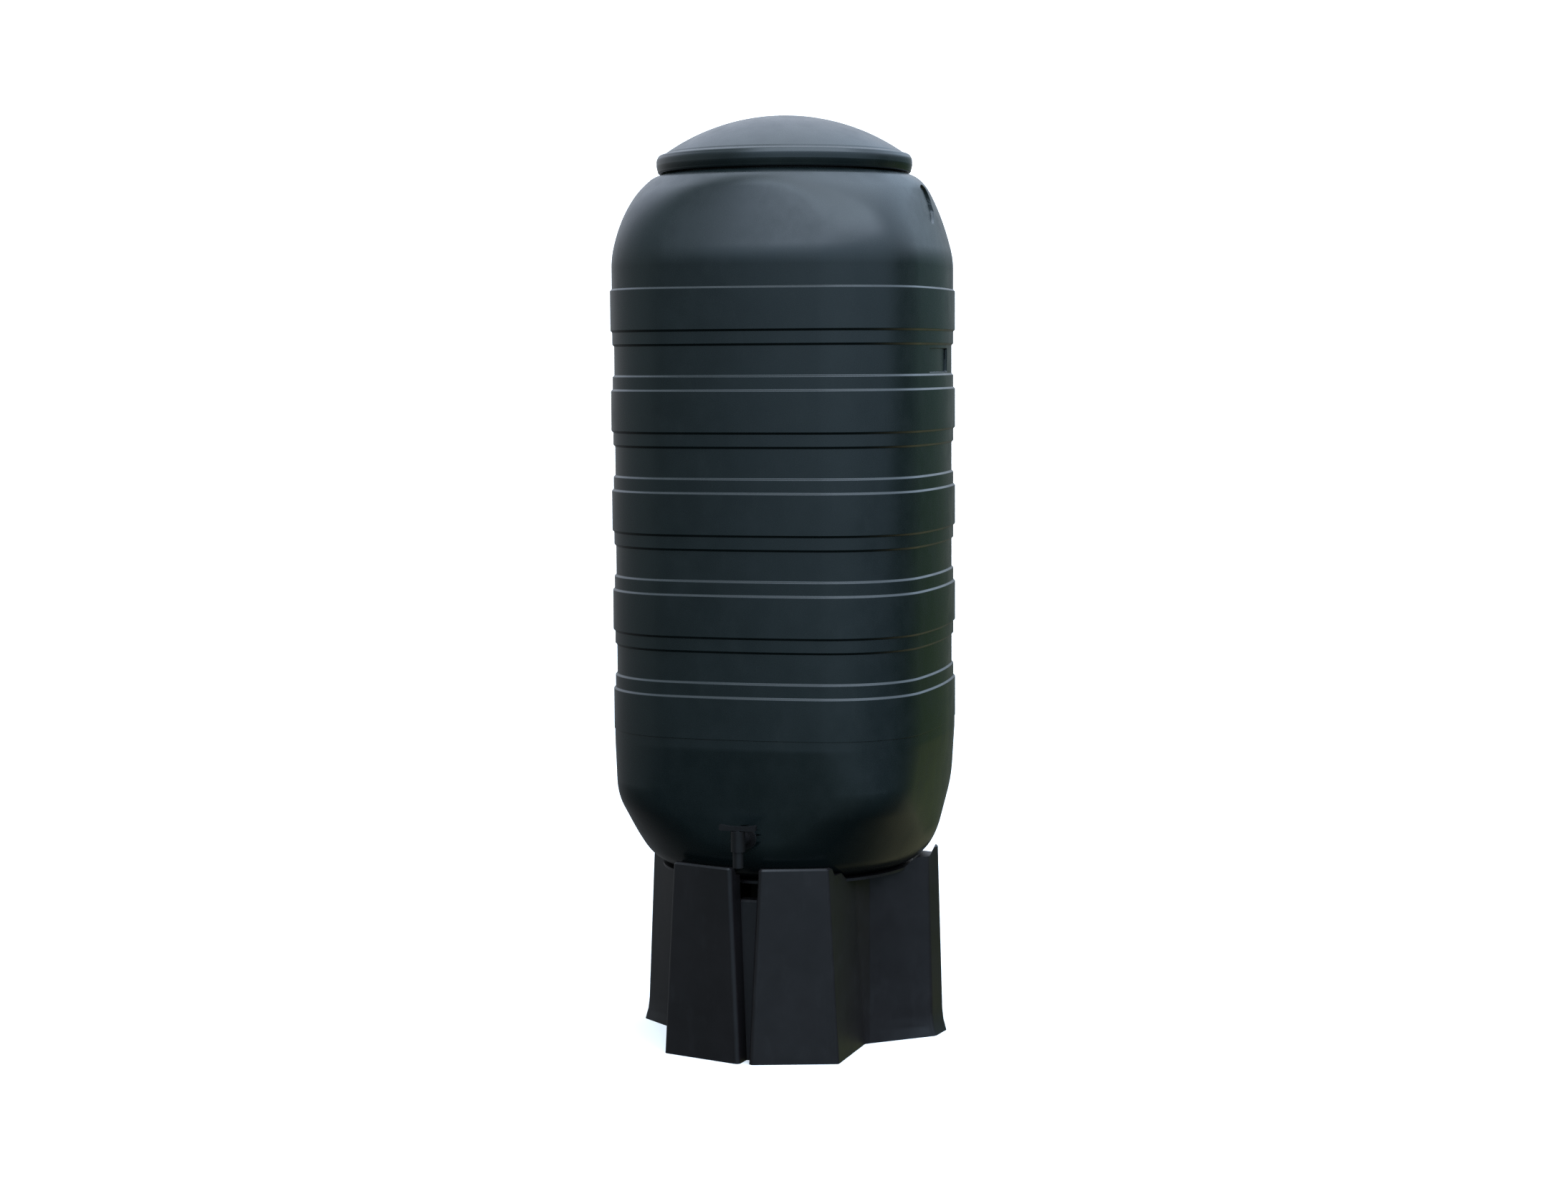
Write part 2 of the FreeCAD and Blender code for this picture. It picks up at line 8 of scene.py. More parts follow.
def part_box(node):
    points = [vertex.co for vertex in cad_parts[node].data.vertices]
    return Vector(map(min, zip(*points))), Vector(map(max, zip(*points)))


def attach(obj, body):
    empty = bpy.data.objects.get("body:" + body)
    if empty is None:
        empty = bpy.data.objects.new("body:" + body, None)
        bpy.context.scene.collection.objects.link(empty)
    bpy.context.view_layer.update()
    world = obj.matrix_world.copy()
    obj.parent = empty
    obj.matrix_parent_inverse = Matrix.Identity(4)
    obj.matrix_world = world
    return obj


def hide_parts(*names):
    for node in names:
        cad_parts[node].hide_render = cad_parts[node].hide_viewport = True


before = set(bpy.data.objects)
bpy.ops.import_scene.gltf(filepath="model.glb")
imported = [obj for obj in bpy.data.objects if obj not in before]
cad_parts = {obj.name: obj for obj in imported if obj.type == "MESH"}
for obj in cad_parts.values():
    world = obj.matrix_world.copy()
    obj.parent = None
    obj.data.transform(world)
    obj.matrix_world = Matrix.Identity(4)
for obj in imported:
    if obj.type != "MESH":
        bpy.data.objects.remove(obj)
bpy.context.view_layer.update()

# Rain barrel. Metres, +Z up, the tap faces -Y. Sizes repeat the part's driving dimensions.
MM = 0.001

# Where the barrel stands, read from the frame
lid_low, lid_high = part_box("lid_rim")
axis_y = (lid_low.y + lid_high.y) / 2.0
lid_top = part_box("lid_dome")[1].z
lid_bottom = lid_low.z
lid_radius = (lid_high.x - lid_low.x) / 2.0
half_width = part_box("wall_right")[1].x

# Barrel plan and skin
side_radius = 985.0 * MM
corner_radius = 155.0 * MM
wall = 4.0 * MM

# Bands
band_count = 5
band_top = 1226.8 * MM
band_pitch = 160.6 * MM
band_height = 66.8 * MM
step_height = 22.4 * MM
step_depth = 2.9 * MM
ramp = 3.0 * MM
edge_radius = 1.6 * MM
joint_radius = 0.3 * MM

# Shoulder and base, which turn from the square plan to a circle
shoulder_start = 1262.0 * MM
shoulder_side_bend = 120.0 * MM
shoulder_corner_bend = 165.0 * MM
shoulder_turn = 40.0 * MM
shoulder_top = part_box("shoulder_plate")[1].z
shoulder_flat = (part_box("shoulder_plate")[1].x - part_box("shoulder_plate")[0].x) / 2.0
neck_bead = 2.5 * MM
neck_wall = 5.0 * MM
mouth_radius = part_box("neck_ring")[1].x - neck_bead - neck_wall
base_inset = 1.0 * MM
base_side_start = 505.0 * MM
base_side_bend = 80.0 * MM
base_corner_start = 435.0 * MM
base_corner_bend = 80.0 * MM
base_turn = 75.0 * MM
base_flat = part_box("barrel_floor")[1].x
base_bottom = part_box("barrel_floor")[0].z

# Hand holds and inlet pads, sunk into the two sides
grip_side = half_width * 0.8
grip_half_width = 63.0 * MM
grip_bottom = 1093.5 * MM
grip_top = 1129.5 * MM
grip_depth = 27.0 * MM
grip_ledge = 1113.0 * MM
grip_ledge_depth = 13.0 * MM
grip_edge = 2.4 * MM
grip_row_step = 0.9 * MM
grip_column_step = 0.7 * MM
pad_side = half_width * 0.5
inlet_radius = 31.0 * MM
inlet_height = 1362.0 * MM
inlet_depth = 8.0 * MM
inlet_edge = 3.0 * MM
inlet_step = 1.3 * MM

# Tap pad in the front of the base
tap_height = 360.0 * MM
tap_pad_radius = 21.0 * MM
tap_pad_reach = half_width - 17.5 * MM
tap_pad_edge = 1.5 * MM
tap_row_step = 1.2 * MM

# Lid: a flat dome that steps down to a squared rim with a shallow groove
lid_dome_radius = 340.0 * MM
lid_rim_radius = 23.0 * MM
lid_skirt_height = 8.5 * MM
lid_upright = 4.5 * MM
lid_step_inset = 14.3 * MM
lid_step_half = 2.3 * MM
lid_groove_reach = 7.8 * MM
lid_groove_depth = 0.6 * MM
lid_groove_width = 2.2 * MM
lid_foot_radius = 4.0 * MM
lid_foot_lean = 2.0 * MM
lid_foot_curve = 1.3
lid_foot_wall = 2.2 * MM
lid_foot_edge = 0.6 * MM
lid_rim_wall = 2.8 * MM
lid_wall = 3.0 * MM
lid_turns = 180

# How closely the skins are divided
plan_step = 10.0 * MM
corner_steps = 29
plain_side_steps = 25
inner_rows = 24
focus_share = 1.2

wall_top = band_top + ramp / 2.0
wall_bottom = band_top - (band_count - 1) * band_pitch - band_height

# Where the bowed sides and the round corners meet with one tangent
side_centre = half_width - side_radius
corner_centre = (side_centre + math.sqrt(2.0 * (side_radius - corner_radius) ** 2
                                         - side_centre ** 2)) / 2.0
side_angle = math.atan2(corner_centre, corner_centre - side_centre)
half_diagonal = math.sqrt(2.0) * corner_centre + corner_radius


# Closed sections swept round the barrel's plan or turned round its axis

def trace(corners, step=4.0 * MM):
    """Rounds the corners (out, z, radius) of a closed section that has its material on the left.
    Returns rows of out, z, and the outward normal's two parts."""
    rows = []
    count = len(corners)
    for index in range(count):
        here = np.array(corners[index][:2])
        radius = corners[index][2]
        back = np.array(corners[index - 1][:2]) - here
        ahead = np.array(corners[(index + 1) % count][:2]) - here
        back /= np.linalg.norm(back)
        ahead /= np.linalg.norm(ahead)
        turn = math.atan2(-back[0] * ahead[1] + back[1] * ahead[0], -back @ ahead)
        half = (math.pi - abs(turn)) / 2.0
        middle = (back + ahead) / np.linalg.norm(back + ahead)
        centre = here + middle * radius / math.sin(half)
        first = math.atan2(back[0], -back[1])
        pieces = max(4, math.ceil(radius * abs(turn) / step))
        for share in np.linspace(0.0, 1.0, pieces + 1):
            angle = first + turn * share
            normal = np.array([math.cos(angle), math.sin(angle)])
            place = centre + normal * radius * math.copysign(1.0, turn)
            rows.append([*place, *normal])
    return np.array(rows)


def refine(rows, low, high, step):
    """Adds rows on the straight runs between two heights of the outer side."""
    finer = []
    for first, second in zip(rows, np.roll(rows, -1, axis=0)):
        finer.append(first)
        rise = second[1] - first[1]
        if first[2] > 0.3 and rise > step and first[1] < high and second[1] > low:
            heights = np.arange(max(low, first[1]) + step / 2.0, min(high, second[1]), step)
            for height in heights:
                finer.append(first + (second - first) * (height - first[1]) / rise)
    return np.array(finer)


def graded(low, high, step, edges=(), reach=0.0, fine=1.0):
    """Places between two ends, closer together near the edges."""
    places = list(np.linspace(low, high, max(2, round((high - low) / step)) + 1))
    for edge in edges:
        places = [p for p in places if abs(p - edge) > reach]
        places += list(np.arange(edge - reach, edge + reach + fine / 2.0, fine))
    return np.array(sorted(places))


class Plan:
    """Directions round the barrel, whose sides and corners stay tangent as they turn to a circle."""

    def __init__(self, side_places):
        corner = np.linspace(side_angle, math.pi / 2.0 - side_angle, corner_steps)[:-1]
        plain = np.linspace(-side_angle, side_angle, plain_side_steps)[:-1]
        sides = np.arcsin(side_places / side_radius)[:-1]
        angles, turns, rounded = [], [], []
        for quarter in range(4):
            along = plain if quarter % 2 else sides
            angles += [along, corner]
            turns += [np.full(len(along) + len(corner), quarter * math.pi / 2.0)]
            rounded += [np.zeros(len(along)), np.ones(len(corner))]
        self.turn = np.concatenate(turns)
        angle = np.concatenate(angles) + self.turn
        self.rounded = np.concatenate(rounded)
        self.way = np.stack([np.cos(angle), np.sin(angle)], axis=1)
        self.across = np.stack([-np.sin(angle), np.cos(angle)], axis=1)

    def at(self, side_reach, corner_reach):
        """Centres and radii of the plan's arcs for the reach of its sides and of its corners."""
        spread = math.sqrt(2.0) - 1.0 - math.tan(side_angle / 2.0)
        centre = (corner_reach - side_reach) / spread
        corner = corner_reach - math.sqrt(2.0) * centre
        side = corner + centre / math.sin(side_angle)
        x = np.where(self.rounded > 0.5, centre, side_reach - side)
        y = np.where(self.rounded > 0.5, centre, 0.0)
        centres = np.stack([x * np.cos(self.turn) - y * np.sin(self.turn),
                            x * np.sin(self.turn) + y * np.cos(self.turn)], axis=1)
        return centres, np.where(self.rounded > 0.5, corner, side)


class EndLine:
    """A line from the wall to a flat end: upright, bent inwards, straight, then turned flat."""

    def __init__(self, reach, start, bend, turn, flat_reach, end):
        self.way = 1.0 if end > start else -1.0
        self.reach = reach
        self.start = start
        self.bend = bend
        self.turn = turn
        self.flat_reach = flat_reach
        self.end = end
        self.bend_reach = reach - bend
        self.turn_start = abs(end - start) - turn
        across = flat_reach - self.bend_reach
        apart = math.hypot(across, self.turn_start)
        self.lean = math.atan2(self.turn_start, across) - math.acos((bend - turn) / apart)

    def at(self, z, depth):
        """The line's reach and how fast it grows with the height, moved inwards by the depth."""
        rise = (z - self.start) * self.way
        bend = self.bend - depth
        turn = self.turn - depth
        bend_rise = bend * math.sin(self.lean)
        turn_rise = self.turn_start + turn * math.sin(self.lean)
        if rise <= 0.0:
            return self.reach - depth, 0.0
        if rise <= bend_rise:
            reach = math.sqrt(bend ** 2 - rise ** 2)
            return self.bend_reach + reach, -self.way * rise / reach
        if rise <= turn_rise:
            fall = (rise - bend_rise) * math.tan(self.lean)
            reach = self.bend_reach + bend * math.cos(self.lean) - fall
            return reach, -self.way * math.tan(self.lean)
        past = rise - self.turn_start
        left = turn ** 2 - past ** 2
        slope = -self.way * past / math.sqrt(max(left, (0.001 * turn) ** 2))
        return self.flat_reach + math.sqrt(max(left, 0.0)), slope


def even_ring(row):
    """A ring of the wall: the same distance out all round, with its normal's two parts."""
    out, z, normal_out, normal_z = row
    return half_width + out, half_diagonal + out, z, normal_out, normal_z, 0.0, 0.0


def round_ring(radius, z, normal_out, normal_z):
    return radius, radius, z, normal_out, normal_z, 0.0, 0.0


def end_rings(side, corner, heights, depth, facing):
    """Rings of the shoulder or base. Facing is 1 for the outer skin and -1 for the inner one."""
    rings = []
    for z in heights:
        side_out, side_slope = side.at(z, depth)
        corner_out, corner_slope = corner.at(z, depth)
        rings.append((side_out, corner_out, z, facing, 0.0, side_slope, corner_slope))
    return rings


def end_heights(line, join, depth, count, focus=None):
    """Heights from the join to the flat end, closer together near the end and round the focus."""
    end = line.end - line.way * depth
    shares = np.sin(np.linspace(0.0, math.pi / 2.0, count))
    heights = [join] + list(line.start + (end - line.start) * shares)
    if focus is not None:
        low, high, step = focus
        heights = [z for z in heights if not low <= z <= high] + list(np.arange(low, high, step))
    return sorted(heights, key=lambda z: line.way * z)


def swept(name, plan, rings, dent=None):
    """A closed section carried round a plan, with exact normals. The dent sinks the outer skin."""
    count, steps = len(rings), len(plan.way)
    tiny = 0.05 * MM
    places = np.zeros((count, steps, 3))
    normals = np.zeros((count, steps, 3))
    for index, ring in enumerate(rings):
        side, corner, z, normal_out, normal_z, side_slope, corner_slope = ring
        centres, radii = plan.at(side, corner)
        base = centres + plan.way * radii[:, None]
        centre_slopes, radius_slopes = plan.at(side_slope, corner_slope)
        slope = (centre_slopes * plan.way).sum(axis=1) + radius_slopes
        depth = np.zeros(steps)
        sink_z = np.zeros(steps)
        sink_s = np.zeros(steps)
        if dent is not None and normal_out > 0.3:
            aside = plan.across * tiny
            depth = dent(base, z)
            sink_z = (dent(base, z + tiny) - dent(base, z - tiny)) / (2.0 * tiny)
            sink_s = (dent(base + aside, z) - dent(base - aside, z)) / (2.0 * tiny)
        places[index, :, 0:2] = base - plan.way * depth[:, None]
        places[index, :, 2] = z
        normals[index, :, 0:2] = (plan.way + plan.across * sink_s[:, None]) * normal_out
        normals[index, :, 2] = normal_z + (sink_z - slope) * normal_out
    places[:, :, 1] += axis_y
    normals /= np.linalg.norm(normals, axis=2)[:, :, None]
    faces = []
    for row in range(count):
        after = (row + 1) % count
        for step in range(steps):
            beside = (step + 1) % steps
            faces.append((row * steps + step, row * steps + beside,
                          after * steps + beside, after * steps + step))
    return mesh_object(name, places.reshape(-1, 3), faces, normals.reshape(-1, 3))


def turned(name, outline, steps):
    """A closed outline, from the axis back to the axis, turned round the barrel's axis."""
    outline = np.array(outline)
    ahead = np.roll(outline, -1, axis=0) - outline
    behind = outline - np.roll(outline, 1, axis=0)
    ahead[-1] = behind[-1]
    behind[0] = ahead[0]
    run = sum(part / np.linalg.norm(part, axis=1)[:, None] for part in (ahead, behind))
    run[0] = (1.0, 0.0)
    run[-1] = (-1.0, 0.0)
    facing = np.stack([-run[:, 1], run[:, 0]], axis=1)
    facing /= np.linalg.norm(facing, axis=1)[:, None]
    angles = np.linspace(0.0, 2.0 * math.pi, steps, endpoint=False)
    places, normals = [], []
    for (reach, z), (out, up) in zip(outline[1:-1], facing[1:-1]):
        for angle in angles:
            x, y = math.cos(angle), math.sin(angle)
            places.append((reach * x, reach * y + axis_y, z))
            normals.append((out * x, out * y, up))
    first = len(places)
    places += [(0.0, axis_y, outline[0][1]), (0.0, axis_y, outline[-1][1])]
    normals += [(0.0, 0.0, facing[0][1]), (0.0, 0.0, facing[-1][1])]
    rows = len(outline) - 2
    faces = []
    for step in range(steps):
        beside = (step + 1) % steps
        faces.append((first, step, beside))
        for row in range(rows - 1):
            faces.append((row * steps + beside, row * steps + step,
                          (row + 1) * steps + step, (row + 1) * steps + beside))
        faces.append((first + 1, (rows - 1) * steps + beside, (rows - 1) * steps + step))
    return mesh_object(name, places, faces, normals)


def mesh_object(name, places, faces, normals=None):
    mesh = bpy.data.meshes.new(name)
    mesh.from_pydata([tuple(place) for place in places], [], faces)
    mesh.polygons.foreach_set("use_smooth", [True] * len(faces))
    if normals is not None:
        mesh.normals_split_custom_set_from_vertices([tuple(normal) for normal in normals])
    mesh.update()
    piece = bpy.data.objects.new(name, mesh)
    bpy.context.scene.collection.objects.link(piece)
    return piece


def smooth_step(value):
    value = np.clip(value, 0.0, 1.0)
    return value * value * (3.0 - 2.0 * value)


def grip_dent(place, z):
    """A hand hold in each of the two sides: deep above for the fingers, a sloping floor below."""
    on_side = np.abs(place[:, 0]) > grip_side
    beside = smooth_step((grip_half_width - np.abs(place[:, 1])) / grip_edge + 0.5)
    above = smooth_step((z - grip_bottom) / grip_edge + 0.5)
    below = smooth_step((grip_top - z) / grip_edge + 0.5)
    sloped = smooth_step((grip_ledge - z) / (grip_ledge - grip_bottom))
    depth = grip_depth - (grip_depth - grip_ledge_depth) * sloped
    return depth * beside * above * below * on_side


def inlet_dent(place, z):
    """A round flat-bottomed pad in each of the two side shoulders."""
    on_side = np.abs(place[:, 0]) > pad_side
    along = (z - inlet_height) / math.cos(shoulder_side.lean)
    away = np.hypot(place[:, 1], along)
    sunk = smooth_step((inlet_radius - away) / inlet_edge + 0.5)
    return inlet_depth / math.cos(shoulder_side.lean) * sunk * on_side


def tap_dent(place, z):
    """An upright pad on the front of the base, where the tap sits."""
    on_front = place[:, 1] < -pad_side
    away = np.hypot(place[:, 0], z - tap_height)
    pad = smooth_step((tap_pad_radius - away) / tap_pad_edge + 0.5)
    return (-place[:, 1] - tap_pad_reach) * pad * on_front


def band_corners():
    """The outside of the banded wall from its bottom to its top."""
    half_ramp = ramp / 2.0
    corners = []
    for band in reversed(range(band_count)):
        top = band_top - band * band_pitch
        bottom = top - band_height
        if band < band_count - 1:
            corners += [(-2.0 * step_depth, bottom - step_height - half_ramp, edge_radius),
                        (-step_depth, bottom - step_height + half_ramp, edge_radius),
                        (-step_depth, bottom - half_ramp, edge_radius),
                        (0.0, bottom + half_ramp, edge_radius)]
        corners.append((0.0, top - half_ramp, edge_radius))
        if band > 0:
            corners += [(-step_depth, top + half_ramp, edge_radius),
                        (-step_depth, top + step_height - half_ramp, edge_radius),
                        (-2.0 * step_depth, top + step_height + half_ramp, edge_radius)]
    return corners


inside = -2.0 * step_depth - wall
side_reach = side_radius * math.sin(side_angle)

shoulder_side = EndLine(half_width - step_depth, shoulder_start, shoulder_side_bend,
                        shoulder_turn, shoulder_flat, shoulder_top)
shoulder_corner = EndLine(half_diagonal - step_depth, shoulder_start, shoulder_corner_bend,
                          shoulder_turn, shoulder_flat, shoulder_top)
base_side = EndLine(half_width - base_inset, base_side_start, base_side_bend,
                    base_turn, base_flat, base_bottom)
base_corner = EndLine(half_diagonal - base_inset, base_corner_start, base_corner_bend,
                      base_turn, base_flat, base_bottom)


def make_wall():
    """The banded wall, closer divided round the hand holds."""
    corners = [(0.0, wall_bottom, 2.0 * joint_radius)] + band_corners()
    corners += [(-step_depth, wall_top, joint_radius), (inside, wall_top, joint_radius),
                (inside, wall_bottom, joint_radius)]
    rows = refine(trace(corners), grip_bottom - grip_edge, grip_top + grip_edge, grip_row_step)
    places = graded(-side_reach, side_reach, plan_step, [-grip_half_width, grip_half_width],
                    grip_edge, grip_column_step)
    return swept("barrel_wall", Plan(places), [even_ring(row) for row in rows], dent=grip_dent)


def make_shoulder():
    """The shoulder's outer skin, the lip of the mouth and the inner skin."""
    lines = (shoulder_side, shoulder_corner)
    reach = focus_share * inlet_radius
    focus = (inlet_height - reach, inlet_height + reach, inlet_step)
    outer = end_heights(shoulder_side, wall_top, 0.0, 60, focus)
    inner = end_heights(shoulder_side, wall_top, wall, inner_rows)
    lip = shoulder_top - wall
    rings = end_rings(*lines, outer, 0.0, 1.0)
    rings += [round_ring(mouth_radius + joint_radius, shoulder_top, 0.0, 1.0),
              round_ring(mouth_radius, shoulder_top - joint_radius, -1.0, 0.0),
              round_ring(mouth_radius, lip + joint_radius, -1.0, 0.0),
              round_ring(mouth_radius + joint_radius, lip, 0.0, -1.0)]
    rings += end_rings(*lines, inner[::-1], wall, -1.0)
    places = graded(-side_reach, side_reach, plan_step, [0.0],
                    inlet_radius + inlet_edge, inlet_step)
    return swept("barrel_shoulder", Plan(places), rings, dent=inlet_dent)


def make_base():
    """The tapered base's outer and inner skins."""
    lines = (base_side, base_corner)
    reach = focus_share * tap_pad_radius
    focus = (tap_height - reach, tap_height + reach, tap_row_step)
    outer = end_heights(base_side, wall_bottom, 0.0, 50, focus)
    inner = end_heights(base_side, wall_bottom, wall, inner_rows)
    rings = end_rings(*lines, outer[::-1], 0.0, 1.0) + end_rings(*lines, inner, wall, -1.0)
    places = graded(-side_reach, side_reach, plan_step)
    return swept("barrel_base", Plan(places), rings, dent=tap_dent)


def make_lid():
    """The dome, the step round it, the squared rim with its groove, the foot and the underside."""
    dome_centre = lid_top - lid_dome_radius
    rim_middle = lid_radius - lid_rim_radius
    rim_height = lid_bottom + lid_skirt_height + lid_upright
    rim_rise = lid_rim_radius - lid_upright
    step_reach = lid_radius - lid_step_inset
    foot_height = lid_bottom + lid_foot_radius

    def dome(reach, radius=lid_dome_radius):
        return dome_centre + math.sqrt(radius ** 2 - reach ** 2)

    def rim(angle, inset=0.0):
        return (rim_middle + (lid_rim_radius - inset) * math.cos(angle) ** 0.5,
                rim_height + (rim_rise - inset) * math.sin(angle) ** 0.5)

    # Dome, then the soft step from its surface down to the rim's
    outline = [(reach, dome(reach)) for reach in np.linspace(0.0, step_reach - 4.0 * MM, 60)]
    for reach in np.linspace(step_reach - 3.4 * MM, step_reach + 2.6 * MM, 24):
        past = smooth_step((reach - step_reach) / (2.0 * lid_step_half) + 0.5)
        share = abs(reach - rim_middle) / lid_rim_radius
        below = rim_height + rim_rise * (1.0 - share ** 4) ** 0.25
        outline.append((reach, dome(reach) * (1.0 - past) + below * past))

    # Rim in even steps, with the groove in it
    first = math.acos(((step_reach + 3.0 * MM - rim_middle) / lid_rim_radius) ** 2)
    groove_angle = math.acos((lid_radius - lid_groove_reach - rim_middle) / lid_rim_radius)
    groove_height = lid_bottom + lid_skirt_height + lid_rim_radius * math.sin(groove_angle)
    curve = np.array([rim(angle) for angle in np.linspace(first, 0.0, 600)])
    along = np.concatenate(([0.0], np.cumsum(np.hypot(*np.diff(curve, axis=0).T))))
    for place in np.linspace(0.0, along[-1], 60):
        reach, height = (float(np.interp(place, along, curve[:, axis])) for axis in (0, 1))
        away = (height - groove_height) / lid_groove_width
        outline.append((reach - lid_groove_depth * math.exp(-away * away), height))

    # Skirt leaning inwards, its curled foot and the inside
    for height in np.linspace(rim_height, foot_height, 12)[1:]:
        down = (rim_height - height) / (rim_height - lid_bottom - lid_foot_radius)
        outline.append((lid_radius - lid_foot_lean * down ** lid_foot_curve, height))
    foot_middle = lid_radius - lid_foot_lean - lid_foot_radius
    for angle in np.linspace(0.0, -math.pi / 2.0, 9)[1:-1]:
        outline.append((foot_middle + lid_foot_radius * math.cos(angle),
                        foot_height + lid_foot_radius * math.sin(angle)))
    inner_reach = foot_middle - lid_foot_wall
    outline += [(inner_reach + lid_foot_edge, lid_bottom),
                (inner_reach, lid_bottom + lid_foot_edge)]
    outline += [rim(angle, lid_rim_wall) for angle in np.linspace(0.25, first, 16)]
    outline += [(reach, dome(reach, lid_dome_radius - lid_wall))
                for reach in np.linspace(step_reach - 6.0 * MM, 0.0, 30)]
    return turned("lid_cover", outline, lid_turns)


barrel_wall = make_wall()
barrel_shoulder = make_shoulder()
barrel_base = make_base()
lid_cover = make_lid()

side_names = ("front", "right", "back", "left")
corner_names = ("back_right", "back_left", "front_left", "front_right")
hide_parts(*["wall_" + side for side in side_names],
            *["wall_corner_" + corner for corner in corner_names])
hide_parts(*["shoulder_" + side for side in (*side_names, "plate")])
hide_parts(*["base_" + side for side in side_names])
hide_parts("lid_dome", "lid_rim")
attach(lid_cover, "lid")
for piece in (barrel_wall, barrel_shoulder, barrel_base):
    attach(piece, "root")


# Materials

class Nodes:
    """Builds a node tree line by line."""

    def __init__(self, name):
        self.material = bpy.data.materials.new(name)
        self.material.use_nodes = True
        self.tree = self.material.node_tree
        self.shader = self.tree.nodes["Principled BSDF"]
        self.place = self.add("ShaderNodeTexCoord").outputs["Object"]

    def add(self, kind, **settings):
        node = self.tree.nodes.new(kind)
        for name, value in settings.items():
            setattr(node, name, value)
        return node

    def link(self, source, target):
        self.tree.links.new(source, target)

    def noise(self, scale, detail=3.0, rough=0.5, stretch=(1.0, 1.0, 1.0)):
        mapping = self.add("ShaderNodeMapping")
        mapping.inputs["Scale"].default_value = stretch
        self.link(self.place, mapping.inputs["Vector"])
        node = self.add("ShaderNodeTexNoise")
        node.inputs["Scale"].default_value = scale
        node.inputs["Detail"].default_value = detail
        node.inputs["Roughness"].default_value = rough
        self.link(mapping.outputs["Vector"], node.inputs["Vector"])
        return node.outputs["Fac"]

    def spread(self, source, low, high, start=0.3, end=0.7):
        node = self.add("ShaderNodeMapRange")
        for name, value in (("From Min", start), ("From Max", end),
                            ("To Min", low), ("To Max", high)):
            node.inputs[name].default_value = value
        self.link(source, node.inputs["Value"])
        return node.outputs["Result"]

    def mix(self, share, first, second):
        node = self.add("ShaderNodeMix", data_type="RGBA")
        self.link(share, node.inputs["Factor"])
        for name, value in (("A", first), ("B", second)):
            socket = [s for s in node.inputs if s.name == name and s.type == "RGBA"][0]
            if isinstance(value, tuple):
                socket.default_value = (*value, 1.0)
            else:
                self.link(value, socket)
        return [s for s in node.outputs if s.type == "RGBA"][0]

    def bump(self, height, strength, distance, before=None):
        node = self.add("ShaderNodeBump")
        node.inputs["Strength"].default_value = strength
        node.inputs["Distance"].default_value = distance
        self.link(height, node.inputs["Height"])
        if before is not None:
            self.link(before, node.inputs["Normal"])
        return node.outputs["Normal"]


def moulded_plastic(name, dark, light, dust, roughness, wave, grain, ior):
    """Moulded plastic: a mottled colour with streaks of dust, long soft waves and a fine grain."""
    nodes = Nodes(name)
    shader = nodes.shader
    mottle = nodes.spread(nodes.noise(scale=9.0, detail=4.0, rough=0.55), 0.0, 1.0)
    colour = nodes.mix(mottle, dark, light)
    streaks = nodes.noise(scale=38.0, detail=6.0, rough=0.7, stretch=(1.0, 1.0, 0.35))
    dusty = nodes.spread(streaks, 0.0, 1.0, start=0.55, end=0.85)
    nodes.link(nodes.mix(dusty, colour, dust), shader.inputs["Base Color"])
    uneven = nodes.noise(scale=24.0, detail=5.0, rough=0.6)
    nodes.link(nodes.spread(uneven, roughness - 0.05, roughness + 0.07), shader.inputs["Roughness"])
    shader.inputs["IOR"].default_value = ior
    waves = nodes.bump(nodes.noise(scale=5.0, detail=1.0), 1.0, wave)
    fine = nodes.bump(nodes.noise(scale=900.0, detail=2.0), 0.5, grain, waves)
    nodes.link(fine, shader.inputs["Normal"])
    return nodes.material


# Dark, light and dusty colour, roughness, depth of the waves and of the grain, and refraction
plastics = {
    "barrel_plastic": ((0.0045, 0.0078, 0.0080), (0.0058, 0.0095, 0.0098),
                       (0.0085, 0.0120, 0.0118), 0.26, 0.3 * MM, 0.012 * MM, 1.50),
    "stand_plastic": ((0.0075, 0.0062, 0.0066), (0.0098, 0.0078, 0.0084),
                      (0.0150, 0.0135, 0.0140), 0.36, 0.3 * MM, 0.04 * MM, 1.40),
    "tap_plastic": ((0.0050, 0.0042, 0.0045), (0.0070, 0.0060, 0.0062),
                    (0.0130, 0.0115, 0.0115), 0.34, 0.05 * MM, 0.04 * MM, 1.38),
    "washer_rubber": ((0.0040, 0.0038, 0.0040), (0.0055, 0.0052, 0.0055),
                      (0.0120, 0.0115, 0.0115), 0.70, 0.05 * MM, 0.05 * MM, 1.40),
    # Painted shade: darker, rougher and duller than the barrel, it stands in for the shadow under
    # the hand holds' top lip
    "grip_painted_shade": ((0.0020, 0.0030, 0.0032), (0.0030, 0.0042, 0.0045),
                     (0.0050, 0.0065, 0.0065), 0.75, 0.05 * MM, 0.05 * MM, 1.30),
}
materials = {name: moulded_plastic(name, *values) for name, values in plastics.items()}


def dress(piece, material):
    piece.data.materials.clear()
    piece.data.materials.append(material)


def paint_grip_shade(piece):
    """Paints shade into the upper part of the two hand holds with a darker, rougher and duller
    material.
    """
    piece.data.materials.append(materials["grip_painted_shade"])
    deep = half_width - 2.0 * step_depth - 4.0 * MM
    for face in piece.data.polygons:
        place = face.center
        if (grip_ledge < place.z < grip_top + grip_edge and grip_side < abs(place.x) < deep
                and abs(place.y - axis_y) < grip_half_width + grip_edge):
            face.material_index = 1


